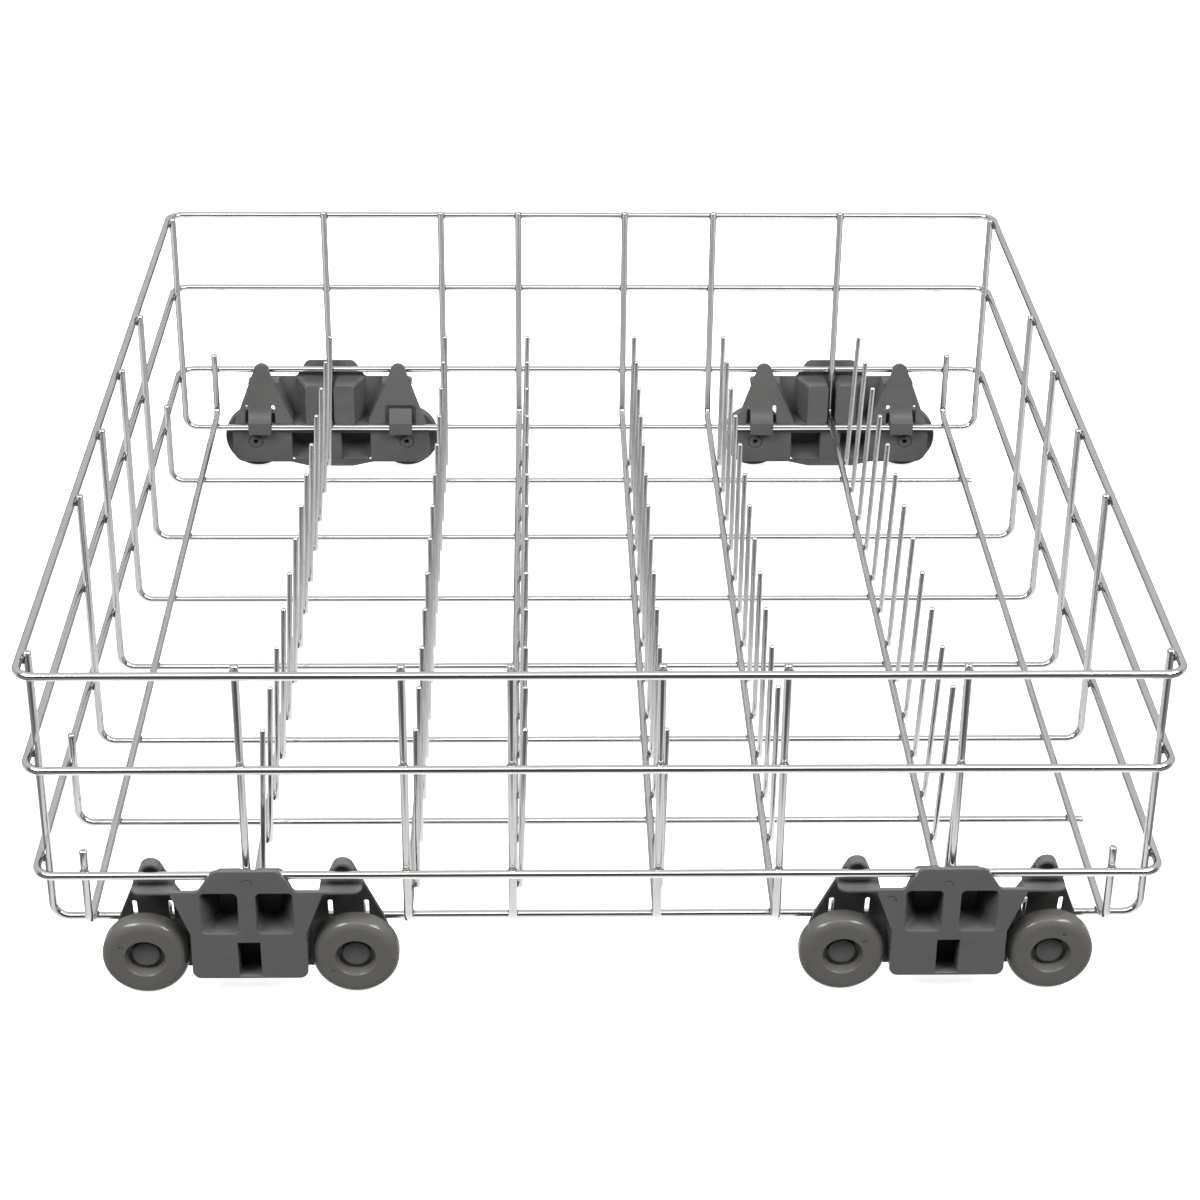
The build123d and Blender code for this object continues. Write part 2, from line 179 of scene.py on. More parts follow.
class RackMouldSizes(bpy.types.PropertyGroup):
    edge_round: length("Edge rounding", "Rounding on the edges of the carriers", 0.45 * MM)
    round_steps: count("Round steps", "Sections round a wheel", 72, 24)
    pin_steps: count("Pin steps", "Sections round a pin", 48, 12)
    pip_steps: count("Pip steps", "Sections round a gate mark", 16, 8)
    tread_round: length("Tread rounding", "Outer rounding of the wheel's tread", 4.2 * MM)
    tread_back_round: length("Tread back rounding", "Inner rounding of the wheel's tread", 1.0 * MM)
    hub_mouth: length("Hub mouth", "Radius of the recess at the wheel's face", 9.3 * MM)
    hub_floor: length("Hub floor", "Radius of the recess at its floor", 8.6 * MM)
    hub_depth: length("Hub depth", "Depth of the recess", 5.8 * MM)
    hub_boss: length("Hub boss", "Radius of the boss at the wheel's back", 7.0 * MM)
    hub_boss_length: length("Hub boss length", "Length of the boss", 4.8 * MM)
    mouth_round: length("Mouth rounding", "Rounding where the recess meets the wheel's face", 0.7 * MM)
    floor_round: length("Floor rounding", "Rounding round the floor of the recess", 0.5 * MM)
    boss_end_round: length("Boss end rounding", "Rounding on the boss's end", 0.3 * MM)
    boss_foot_round: length("Boss foot rounding", "Rounding where the boss meets the wheel", 0.5 * MM)
    axle: length("Axle radius", "Radius of the pin's shank", 3.5 * MM)
    axle_room: length("Axle room", "Room between the shank and the wheel", 0.08 * MM)
    pin_head: length("Pin head", "Radius of the pin's head", 6.45 * MM)
    pin_head_thick: length("Pin head thickness", "Thickness of the pin's head", 1.6 * MM)
    pin_collar: length("Pin collar", "Radius of the snap collar", 4.0 * MM)
    pin_collar_thick: length("Pin collar thickness", "Thickness of the snap collar", 0.9 * MM)
    pin_head_round: length("Pin head rounding", "Rounding on the head's face", 0.45 * MM)
    pin_neck_round: length("Pin neck rounding", "Rounding on the back of the head", 0.2 * MM)
    pin_collar_round: length("Pin collar rounding", "Rounding on the collar's end", 0.35 * MM)
    pin_hollow: length("Pin hollow", "Radius of the hollow end", 1.6 * MM)
    pin_hollow_depth: length("Pin hollow depth", "Depth of the hollow end", 7.0 * MM)
    pip_radius: length("Pip radius", "Radius of the gate mark on a wheel", 0.95 * MM)
    pip_place: length("Pip place", "Distance of the gate mark from the axle", 12.6 * MM)
    pip_lift: length("Pip lift", "How far the gate mark's cutter stands out of the wheel's face", 0.2 * MM)
    pip_depth: length("Pip depth", "Depth of the gate mark's hollow", 0.4 * MM)
    pip_nub: length("Pip nub", "Depth of the nub in the middle of the gate mark", 0.12 * MM)
    mark_radius: length("Mark radius", "Radius of the crescent mould mark", 2.3 * MM)
    mark_line: length("Mark line", "Half width of the crescent's line", 0.42 * MM)


class RackFinishes(bpy.types.PropertyGroup):
    steel: colour("Steel", "Bright drawn wire", (0.80, 0.80, 0.79))
    scale: colour("Weld scale", "Metal darkened by a weld", (0.30, 0.28, 0.26))
    carrier: colour("Carrier", "Moulded carrier plastic", (0.096, 0.0945, 0.093))
    wheel: colour("Wheel", "Moulded wheel plastic", (0.098, 0.095, 0.087))
    pin: colour("Pin", "Moulded pin plastic", (0.090, 0.089, 0.087))


# Shader building

class Reading:
    """A shader socket that takes part in Python sums; each operation adds a Math node."""

    def __init__(self, finish, socket):
        self.finish = finish
        self.socket = socket

    def sum(self, operation, first, second):
        return self.finish.node("ShaderNodeMath", {"operation": operation}, {0: first, 1: second})

    def __add__(self, other):
        return self.sum("ADD", self, other)

    def __radd__(self, other):
        return self.sum("ADD", other, self)

    def __sub__(self, other):
        return self.sum("SUBTRACT", self, other)

    def __rsub__(self, other):
        return self.sum("SUBTRACT", other, self)

    def __mul__(self, other):
        return self.sum("MULTIPLY", self, other)

    def __rmul__(self, other):
        return self.sum("MULTIPLY", other, self)

    def __abs__(self):
        return self.finish.node("ShaderNodeMath", {"operation": "ABSOLUTE"}, {0: self})

    def over(self, low, high):
        """From 0 at low to 1 at high, with soft ends."""
        settings = {"interpolation_type": "SMOOTHSTEP"}
        return self.finish.node("ShaderNodeMapRange", settings, {0: self, 1: low, 2: high})


class Finish:
    """A node tree, filled by one method."""

    def __init__(self, tree):
        self.tree = tree
        self.tree.nodes.clear()

    @classmethod
    def material(cls, name):
        made = bpy.data.materials.new(name)
        made.use_nodes = True
        finish = cls(made.node_tree)
        finish.made = made
        return finish

    def node(self, kind, settings=None, inputs=None, out=0):
        """Adds a node, sets it up, fills its inputs and returns one of its outputs."""
        added = self.tree.nodes.new(kind)
        for key, value in (settings or {}).items():
            if key == "stops":
                self.set_stops(added.color_ramp, value)
            else:
                setattr(added, key, value)
        for key, value in (inputs or {}).items():
            self.put(added.inputs[key], value)
        return Reading(self, added.outputs[out]) if added.outputs else None

    def put(self, socket, value):
        if isinstance(value, Reading):
            self.tree.links.new(value.socket, socket)
        else:
            socket.default_value = value

    def set_stops(self, ramp, stops):
        while len(ramp.elements) < len(stops):
            ramp.elements.new(1.0)
        for element, (place, shade) in zip(ramp.elements, stops):
            element.position = place
            element.color = (shade, shade, shade, 1) if isinstance(shade, float) else (*shade, 1)

    def place(self):
        return self.node("ShaderNodeTexCoord", out="Object")

    def own(self, name, out="Fac"):
        return self.node("ShaderNodeAttribute", {"attribute_name": name}, out=out)

    def stretched(self, vector, scale):
        return self.node("ShaderNodeMapping", {"vector_type": "POINT"}, {"Vector": vector, "Scale": scale})

    def noise(self, vector, scale, detail=2.0, roughness=0.5):
        inputs = {"Vector": vector, "Scale": scale, "Detail": detail, "Roughness": roughness}
        return self.node("ShaderNodeTexNoise", {}, inputs)

    def mix(self, share, first, second):
        inputs = {"Factor": share, 6: opaque(first), 7: opaque(second)}
        return self.node("ShaderNodeMix", {"data_type": "RGBA"}, inputs, out=2)

    def bump(self, height, strength, distance):
        inputs = {"Strength": strength, "Distance": distance, "Height": height}
        return self.node("ShaderNodeBump", {}, inputs)

    def surface(self, shader):
        self.node("ShaderNodeOutputMaterial", {}, {"Surface": shader})
        return self.made

    def principled(self, inputs):
        return self.surface(self.node("ShaderNodeBsdfPrincipled", {}, inputs))


def opaque(shade):
    return shade if isinstance(shade, Reading) else (*shade, 1)


def times(shade, share):
    return tuple(share * part for part in shade)


def drawn_steel(finishes):
    """Bright drawn wire: die lines along it, faint handling smears, and a brown grey tint at the welds."""
    finish = Finish.material("bright_drawn_steel")
    grain = finish.own("grain", out="Vector")
    lines = finish.noise(finish.stretched(grain, (9, 9, 0.25)), 1.0, detail=3.0, roughness=0.6)
    smears = finish.noise(finish.place(), 42.0, detail=3.0)
    patches = finish.noise(finish.place(), 260.0, detail=2.0)
    heat = finish.own("heat").over(0.05, 1.0)
    tint = heat * (patches.over(0.25, 0.75) * 0.6 + 0.4)
    bright = finish.mix(smears.over(0.35, 0.7), tuple(finishes.steel), times(finishes.steel, 0.93))
    base = finish.mix(tint * 0.72, bright, tuple(finishes.scale))
    return finish.principled({
        "Base Color": base,
        "Metallic": 1.0,
        "Roughness": lines * 0.07 + smears * 0.06 + tint * 0.22 + 0.07,
        "Normal": finish.bump(lines, 0.05, 0.0001),
    })


def weld_scale(finishes):
    """Squeezed out weld metal: dark, rough and mottled, with brighter specks."""
    finish = Finish.material("weld_scale")
    mottle = finish.noise(finish.place(), 900.0, detail=4.0, roughness=0.65)
    pits = finish.noise(finish.place(), 2600.0, detail=2.0)
    dark = times(finishes.scale, 0.25)
    pale = times(finishes.scale, 0.9)
    return finish.principled({
        "Base Color": finish.mix(mottle.over(0.4, 0.75), dark, pale),
        "Metallic": 1.0,
        "Roughness": mottle * 0.3 + 0.32,
        "Normal": finish.bump(pits, 0.5, 0.0003),
    })


def moulded_plastic(name, shade, gloss, tooling):
    """Filled moulding plastic: a fine spark grain, slow flow marks and slightly polished patches."""
    finish = Finish.material(name)
    grain = finish.noise(finish.place(), 2300.0, detail=3.0, roughness=0.6)
    flow = finish.noise(finish.stretched(finish.place(), (1, 1, 2.2)), 45.0, detail=4.0, roughness=0.55)
    rubbed = finish.noise(finish.place(), 160.0, detail=3.0).over(0.5, 0.72)
    specks = grain.over(0.62, 0.75) * 0.35
    streaks = finish.mix(flow.over(0.3, 0.7), times(shade, 0.96), times(shade, 1.04))
    return finish.principled({
        "Base Color": finish.mix(specks, streaks, (0.19, 0.19, 0.19)),
        "Roughness": gloss + grain * 0.12 - rubbed * 0.06,
        "Specular IOR Level": 0.25,
        "Normal": finish.bump(grain * 0.7 + flow * 0.3, tooling, 0.00005),
    })


# Modelling by hand, one step at a time

def clear_selection():
    if bpy.context.object and bpy.context.object.mode != "OBJECT":
        bpy.ops.object.mode_set(mode="OBJECT")
    bpy.ops.object.select_all(action="DESELECT")


def edit(piece):
    bpy.context.view_layer.objects.active = piece
    bpy.ops.object.mode_set(mode="EDIT")


def leave(piece, smooth_angle=WIRE_SMOOTH):
    """Leaves edit mode and shades the piece smooth up to an angle."""
    bpy.ops.object.mode_set(mode="OBJECT")
    bpy.ops.object.shade_smooth_by_angle(angle=smooth_angle)
    return piece


def start_circle(name, centre, along, radius, sides):
    """Adds a circle square to a direction and opens it in edit mode with all of it selected."""
    clear_selection()
    turn = Vector((0, 0, 1)).rotation_difference(Vector(along)).to_euler()
    bpy.ops.mesh.primitive_circle_add(vertices=sides, radius=radius, location=centre, rotation=turn)
    piece = bpy.context.object
    piece.name = name
    piece.data.name = name
    bpy.ops.object.transform_apply(location=True, rotation=True, scale=True)
    edit(piece)
    bpy.ops.mesh.select_all(action="SELECT")
    return piece


def pull(way):
    bpy.ops.mesh.extrude_region_move(TRANSFORM_OT_translate={"value": tuple(way)})


def turn_about(centre, axis, angle, steps):
    bpy.ops.mesh.spin(steps=steps, angle=-angle, center=tuple(centre), axis=tuple(axis))


def pick(piece, kind, test):
    """Selects the vertices, edges or faces whose middle passes a test, and nothing else."""
    bpy.ops.mesh.select_all(action="DESELECT")
    shape = bmesh.from_edit_mesh(piece.data)
    for part in getattr(shape, kind):
        points = [part.co] if kind == "verts" else [corner.co for corner in part.verts]
        if all(test(point) for point in points):
            part.select_set(True)
    shape.select_flush_mode()
    bmesh.update_edit_mesh(piece.data)


def mend():
    """Merges doubles and turns the open mesh's faces outward."""
    bpy.ops.mesh.select_all(action="SELECT")
    bpy.ops.mesh.remove_doubles(threshold=MERGE_REACH)
    bpy.ops.mesh.normals_make_consistent(inside=False)


def seat(piece, material, slot, body, *nodes):
    """Gives a finished piece its material and its body, and hides the CAD nodes that it stands for."""
    piece.data.materials.clear()
    piece.data.materials.append(material)
    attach(piece, body)
    if nodes:
        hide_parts(*nodes)
    return piece


def sheared_end(piece, tip, inward, thickness, sizes):
    """Closes a wire's open end with a tumbled edge and the shallow dish that a shear leaves."""
    end_reach = thickness * 0.52
    flat_reach = 0.05 * thickness
    lip = 0.09 * thickness
    slope = 0.07 * thickness
    bpy.ops.mesh.select_mode(type="EDGE")
    pick(piece, "edges", lambda point: (point - tip).length < end_reach)
    bpy.ops.mesh.edge_face_add()
    bpy.ops.mesh.select_mode(type="EDGE")
    bpy.ops.mesh.bevel(offset=sizes.end_round, segments=3, affect="EDGES")
    bpy.ops.mesh.select_mode(type="FACE")
    shape = bmesh.from_edit_mesh(piece.data)
    near = [face for face in shape.faces if (face.calc_center_median() - tip).length < flat_reach]
    bpy.ops.mesh.select_all(action="DESELECT")
    for face in near:
        face.select_set(True)
    bmesh.update_edit_mesh(piece.data)
    bpy.ops.mesh.inset(thickness=lip, depth=0)
    bpy.ops.mesh.inset(thickness=slope, depth=0)
    bpy.ops.transform.translate(value=inward * sizes.end_dish)
    bpy.ops.mesh.select_mode(type="VERT")


def wire_runs(corners, bend, closed):
    """Splits a route into straight runs and the quarter bends between them."""
    total = len(corners)
    steps = []
    last = total if closed else total - 1
    for index in range(last):
        here, there = corners[index], corners[(index + 1) % total]
        way = (there - here).normalized()
        start = here + way * bend if closed or index > 0 else here
        end = there - way * bend if closed or index < last - 1 else there
        steps.append((start, end, way))
    return steps


def stops_on_run(start, end, way, welds, reach):
    """Distances along a run where the wire needs a section: beside each weld and at the run's end."""
    span = (end - start).length
    stops = {round(span, 6)}
    for weld in welds:
        along = (weld - start).dot(way)
        aside = (weld - start - way * along).length
        if aside < TOUCH_REACH:
            for step in HEAT_STEPS:
                stop = along + step * reach
                if SHORTEST_STEP < stop < span - SHORTEST_STEP:
                    stops.add(round(stop, 6))
    return sorted(stops)


def draw_wire(name, corners, bend, thickness, welds, closed=False):
    """Draws a wire as a bender would: pull a straight run, turn it round a former, pull the next run."""
    sizes = bpy.context.scene.rack_wires
    runs = wire_runs(corners, bend, closed)
    start, end, way = runs[0]
    if closed:
        start = (start + end) / 2
        runs = [(start, end, way)] + runs[1:] + [(runs[0][0], start, way)]
    piece = start_circle(name, start, way, thickness / 2, sizes.sides)
    gone = 0.0
    stations = [gone]
    for index, (start, end, way) in enumerate(runs):
        at = 0.0
        for stop in stops_on_run(start, end, way, welds, sizes.weld_reach):
            pull(way * (stop - at))
            at = stop
            stations.append(gone + at)
        gone += at
        if index + 1 < len(runs):
            onward = runs[index + 1][2]
            turn_about(end + onward * bend, way.cross(onward), QUARTER_TURN, sizes.bend_steps)
            arc = bend * QUARTER_TURN / sizes.bend_steps
            stations += [gone + arc * (step + 1) for step in range(sizes.bend_steps)]
            gone += arc * sizes.bend_steps
    note_grain(piece, stations, sizes.sides, thickness)
    if not closed:
        for tip, beside in ((corners[0], corners[1]), (corners[-1], corners[-2])):
            sheared_end(piece, tip, (beside - tip).normalized(), thickness, sizes)
    mend()
    leave(piece)
    note_heat(piece, welds, sizes.weld_reach)
    return piece


def note_grain(piece, stations, sides, thickness):
    """Stores the place round and along the wire, which the die lines follow."""
    bpy.ops.object.mode_set(mode="OBJECT")
    grain = piece.data.attributes.new("grain", "FLOAT_VECTOR", "POINT")
    for index in range(len(piece.data.vertices)):
        angle = 2 * math.pi * (index % sides) / sides
        along = stations[index // sides] / thickness
        grain.data[index].vector = (math.cos(angle), math.sin(angle), along)
    edit(piece)


def note_heat(piece, welds, reach):
    """Stores how near each point is to a weld."""
    heat = piece.data.attributes.new("heat", "FLOAT", "POINT")
    for index, vertex in enumerate(piece.data.vertices):
        nearest = min((vertex.co - weld).length for weld in welds)
        heat.data[index].value = max(0.0, 1.0 - nearest / reach)


def turned(name, middle, outward, profile, sides, closed):
    """Turns a piece about Y from (radius, distance outward) steps; a solid one is capped at both ends."""
    radius, distance = profile[0]
    centre = middle + Vector((0, outward * distance, 0))
    piece = start_circle(name, centre, (0, outward, 0), radius, sides)
    if not closed:
        bpy.ops.mesh.edge_face_add()
        bpy.ops.mesh.inset(thickness=radius * 0.5, depth=0)
        ring = radius * 0.9
        pick(piece, "edges", lambda point: (point - centre).length > ring)
    for next_radius, next_distance in profile[1:]:
        pull((0, outward * (next_distance - distance), 0))
        centre = middle + Vector((0, outward * next_distance, 0))
        ratio = next_radius / radius
        bpy.ops.transform.resize(value=(ratio, 1, ratio), center_override=centre)
        radius, distance = next_radius, next_distance
    if closed:
        bpy.ops.mesh.select_all(action="DESELECT")
        bpy.ops.mesh.select_mode(type="EDGE")
        bpy.ops.mesh.select_non_manifold()
        bpy.ops.mesh.bridge_edge_loops()
    else:
        bpy.ops.mesh.edge_face_add()
        bpy.ops.mesh.inset(thickness=radius * 0.25, depth=0)
    mend()
    return piece


def round_rim(piece, middle, outward, radius, distance, rounding, segments):
    """Rounds the ring edge of a turned piece at a radius and a distance outward."""
    level = middle.y + outward * distance

    def on_rim(point):
        from_axis = math.hypot(point.x - middle.x, point.z - middle.z)
        return abs(point.y - level) < RIM_REACH and abs(from_axis - radius) < RIM_REACH

    bpy.ops.mesh.select_mode(type="EDGE")
    pick(piece, "edges", on_rim)
    bpy.ops.mesh.bevel(offset=rounding, segments=segments, affect="EDGES")
    bpy.ops.mesh.select_mode(type="VERT")


def carve(piece, cutter):
    """Cuts a mark out of a moulding's face."""
    clear_selection()
    piece.select_set(True)
    bpy.context.view_layer.objects.active = piece
    cut = piece.modifiers.new("carve", "BOOLEAN")
    cut.operation = "DIFFERENCE"
    cut.solver = "EXACT"
    cut.object = cutter
    bpy.ops.object.modifier_apply(modifier=cut.name)
    bpy.data.objects.remove(cutter)


def flatten(piece):
    """Lets the wide faces set the shading, so that they stay flat beside the rounded edges."""
    bpy.ops.object.shade_smooth_by_angle(angle=MOULD_SMOOTH)
    even = piece.modifiers.new("even", "WEIGHTED_NORMAL")
    even.keep_sharp = True
    bpy.ops.object.modifier_apply(modifier=even.name)


def join(pieces):
    clear_selection()
    for piece in pieces:
        piece.select_set(True)
    bpy.context.view_layer.objects.active = pieces[0]
    bpy.ops.object.join()
    return pieces[0]


def copies(model, places):
    """Copies a modelled piece to each place, each with its own mesh, and joins them into one object."""
    made = []
    for place in places:
        twin = model.copy()
        twin.data = model.data.copy()
        bpy.context.scene.collection.objects.link(twin)
        twin.data.transform(place)
        made.append(twin)
    name = model.name
    bpy.data.objects.remove(model)
    piece = join(made)
    piece.name = name
    piece.data.name = name
    return piece


# Where the wires run and touch

def middle_of(node):
    low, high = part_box(node)
    return (low + high) / 2


def is_short(node):
    """A short cross wire reaches the left wall only."""
    low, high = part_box(node)
    return abs(low.x + high.x) > EVEN_SIDES


def outward_of(wall):
    return -1 if wall == "front" else 1


def cross_route(node, thickness):
    """The corners of a cross wire; a short one stops at the right instead of turning up."""
    low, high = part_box(node)
    half = thickness / 2
    y = (low.y + high.y) / 2
    floor = low.z + half
    left = low.x + half
    route = [Vector((left, y, high.z)), Vector((left, y, floor))]
    if is_short(node):
        return route + [Vector((high.x, y, floor))]
    right = high.x - half
    return route + [Vector((right, y, floor)), Vector((right, y, high.z))]


def length_route(node, thickness):
    low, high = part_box(node)
    half = thickness / 2
    x = (low.x + high.x) / 2
    floor = low.z + half
    front, back = low.y + half, high.y - half
    return [Vector((x, front, high.z)), Vector((x, front, floor)),
            Vector((x, back, floor)), Vector((x, back, high.z))]


def ring_route(node, thickness):
    low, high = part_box(node)
    half = thickness / 2
    z = (low.z + high.z) / 2
    left, right = low.x + half, high.x - half
    front, back = low.y + half, high.y - half
    return [Vector((left, back, z)), Vector((right, back, z)),
            Vector((right, front, z)), Vector((left, front, z))]


def tine_feet(node, sizes):
    """Where the tines of a row meet their length wire, from the back to the front."""
    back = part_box(node)[1].y
    number = int(node.rsplit("_", 1)[1])
    wire_low, wire_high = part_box(LENGTH_WIRES[number])
    x = wire_high.x + sizes.tine_wire / 2 - sizes.tine_sink
    first = back - sizes.tine_wire / 2
    return [Vector((x, first - step * sizes.tine_pitch, wire_low.z)) for step in range(sizes.tine_count)]


def floor_welds():
    """Contacts of the length wires with the cross wires under them, and the way they press."""
    found = []
    for cross in CROSS_WIRES:
        for long in LENGTH_WIRES:
            contact = Vector((middle_of(long).x, middle_of(cross).y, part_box(long)[0].z))
            found.append((contact, Vector((0, 0, 1))))
    return found


def ring_welds():
    """Contacts of the uprights with the rings outside them, and the way they press."""
    found = []
    for ring in RINGS:
        z = middle_of(ring).z
        for node in CROSS_WIRES:
            low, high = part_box(node)
            y = middle_of(node).y
            sides = (low.x,) if is_short(node) else (low.x, high.x)
            found += [(Vector((x, y, z)), Vector((1, 0, 0))) for x in sides if high.z > z]
        for node in LENGTH_WIRES:
            low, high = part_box(node)
            x = middle_of(node).x
            found += [(Vector((x, y, z)), Vector((0, 1, 0))) for y in (low.y, high.y) if high.z > z]
    return found


def tine_welds(sizes):
    """Contacts of the tines with the right side of their length wires, and the way they press."""
    found = []
    for node in TINE_ROWS:
        for foot in tine_feet(node, sizes):
            contact = foot + Vector((-sizes.tine_wire / 2, 0, sizes.floor_wire / 2))
            found.append((contact, Vector((1, 0, 0))))
    return found


def weld_points(sizes):
    return [point for point, way in floor_welds() + ring_welds() + tine_welds(sizes)]


# Operators, one for each group of like pieces

class RACK_OT_rings(bpy.types.Operator):
    """Bend the three closed rings"""
    bl_idname = "rack.rings"
    bl_label = "Rings"

    def execute(self, context):
        sizes = context.scene.rack_wires
        welds = [point for point, way in ring_welds()]
        for node in RINGS:
            route = ring_route(node, sizes.ring_wire)
            piece = draw_wire(f"{node}_wire", route, sizes.ring_corner, sizes.ring_wire, welds, True)
            seat(piece, bpy.data.materials["bright_drawn_steel"], "ring_wire", BASKET, node)
        return {"FINISHED"}


class RACK_OT_floor_wires(bpy.types.Operator):
    """Bend the cross wires and the length wires"""
    bl_idname = "rack.floor_wires"
    bl_label = "Floor wires"

    def execute(self, context):
        sizes = context.scene.rack_wires
        welds = weld_points(sizes)
        routes = [(node, cross_route(node, sizes.floor_wire), sizes.cross_bend) for node in CROSS_WIRES]
        routes += [(node, length_route(node, sizes.floor_wire), sizes.length_bend) for node in LENGTH_WIRES]
        for node, route, bend in routes:
            piece = draw_wire(f"{node}_bent", route, bend, sizes.floor_wire, welds)
            seat(piece, bpy.data.materials["bright_drawn_steel"], "floor_wire", BASKET, node)
        return {"FINISHED"}


class RACK_OT_tines(bpy.types.Operator):
    """Cut one tine to length and set it out along each row"""
    bl_idname = "rack.tines"
    bl_label = "Tines"

    def execute(self, context):
        sizes = context.scene.rack_wires
        for node, degrees in zip(TINE_ROWS, sizes.tine_leans):
            feet = tine_feet(node, sizes)
            lean = math.radians(degrees)
            low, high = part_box(node)
            rise = (high.z - low.z - sizes.tine_wire * math.sin(lean)) / math.cos(lean)
            tip = feet[0] + Matrix.Rotation(lean, 3, "Y") @ Vector((0, 0, rise))
            weld = feet[0] + Vector((-sizes.tine_wire / 2, 0, sizes.floor_wire / 2))
            piece = draw_wire(f"{node}_tines", [feet[0], tip], 0, sizes.tine_wire, [weld])
            row = piece.modifiers.new("row", "ARRAY")
            row.count = sizes.tine_count
            row.use_relative_offset = False
            row.use_constant_offset = True
            row.constant_offset_displace = (0, -sizes.tine_pitch, 0)
            bpy.ops.object.modifier_apply(modifier=row.name)
            seat(piece, bpy.data.materials["bright_drawn_steel"], "tine_wire", BASKET, node)
        return {"FINISHED"}


class RACK_OT_welds(bpy.types.Operator):
    """Squeeze a ragged bead of metal out of each weld"""
    bl_idname = "rack.welds"
    bl_label = "Welds"

    def execute(self, context):
        sizes = context.scene.rack_wires
        groups = (("floor_weld_beads", floor_welds(), "floor_wire", 1.0),
                  ("ring_weld_beads", ring_welds(), "ring_wire", 1.05),
                  ("tine_weld_beads", tine_welds(sizes), "tine_wire", 0.8))
        for name, contacts, slot, size in groups:
            bead = self.model_bead(name, sizes, size)
            places = []
            for index, (point, way) in enumerate(contacts):
                turn = Vector((0, 0, 1)).rotation_difference(way).to_matrix().to_4x4()
                roll = Matrix.Rotation(index * sizes.bead_roll, 4, "Z")
                places.append(Matrix.Translation(point) @ turn @ roll)
            piece = copies(bead, places)
            seat(piece, bpy.data.materials["weld_scale"], slot, BASKET)
        return {"FINISHED"}

    def model_bead(self, name, sizes, size):
        clear_selection()
        bpy.ops.mesh.primitive_ico_sphere_add(subdivisions=2, radius=sizes.bead_radius * size)
        bead = bpy.context.object
        bead.name = name
        edit(bead)
        bpy.ops.mesh.select_all(action="SELECT")
        flat = sizes.bead_thickness / (2 * sizes.bead_radius)
        bpy.ops.transform.resize(value=(1, 1, flat))
        bpy.ops.transform.vertex_random(offset=sizes.bead_ragged * size, uniform=0.6, normal=0.4, seed=7)
        return leave(bead, BEAD_SMOOTH)


class RACK_OT_carriers(bpy.types.Operator):
    """Ease the moulded edges of the carriers and add their mould marks"""
    bl_idname = "rack.carriers"
    bl_label = "Carriers"

    def execute(self, context):
        sizes = context.scene.rack_moulds
        for wall, side in CORNERS:
            node = f"{wall}_{side}_carrier"
            piece = self.eased(node, sizes)
            for mark in self.marks(node, wall, side, sizes):
                carve(piece, mark)
            flatten(piece)
            seat(piece, bpy.data.materials["moulded_carrier"], "carrier_plastic", BASKET, node)
        return {"FINISHED"}

    def eased(self, node, sizes):
        """A merged copy of the CAD moulding with its outward edges rounded."""
        clear_selection()
        source = frame["nodes"][node]
        source.select_set(True)
        bpy.context.view_layer.objects.active = source
        bpy.ops.object.duplicate()
        piece = bpy.context.object
        piece.name = f"{node}_moulding"
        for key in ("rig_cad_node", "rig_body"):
            del piece[key]
        bpy.ops.object.parent_clear(type="CLEAR_KEEP_TRANSFORM")
        bpy.ops.mesh.customdata_custom_splitnormals_clear()
        edit(piece)
        mend()
        bpy.ops.mesh.dissolve_limited(angle_limit=FLAT_ANGLE)
        bpy.ops.mesh.select_mode(type="EDGE")
        bpy.ops.mesh.select_all(action="DESELECT")
        shape = bmesh.from_edit_mesh(piece.data)
        for edge in shape.edges:
            if edge.calc_face_angle_signed(0) > SHARP_ANGLE:
                edge.select_set(True)
        bmesh.update_edit_mesh(piece.data)
        bpy.ops.mesh.bevel(offset=sizes.edge_round, segments=2, affect="EDGES")
        bpy.ops.mesh.select_mode(type="VERT")
        return leave(piece, MOULD_SMOOTH)

    def marks(self, node, wall, side, sizes):
        """Bent rods that cut the crescents left on the tongue by the mould's inserts."""
        low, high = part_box(node)
        outward = outward_of(wall)
        face = low.y if outward < 0 else high.y
        centre = (low.x + high.x) / 2
        made = []
        for offset, z in CRESCENTS.get((wall, side), PLAIN_CRESCENTS):
            middle = Vector((centre - outward * offset, face, z))
            foot = middle + Vector((sizes.mark_radius, 0, 0))
            mark = start_circle(f"{node}_mark", foot, (0, 0, 1), sizes.mark_line, CRESCENT_SIDES)
            for angle, steps in CRESCENT_TURNS:
                turn_about(middle, (0, -1, 0), angle, steps)
            bpy.ops.mesh.select_all(action="SELECT")
            bpy.ops.mesh.fill_holes(sides=0)
            mend()
            made.append(leave(mark))
        return made


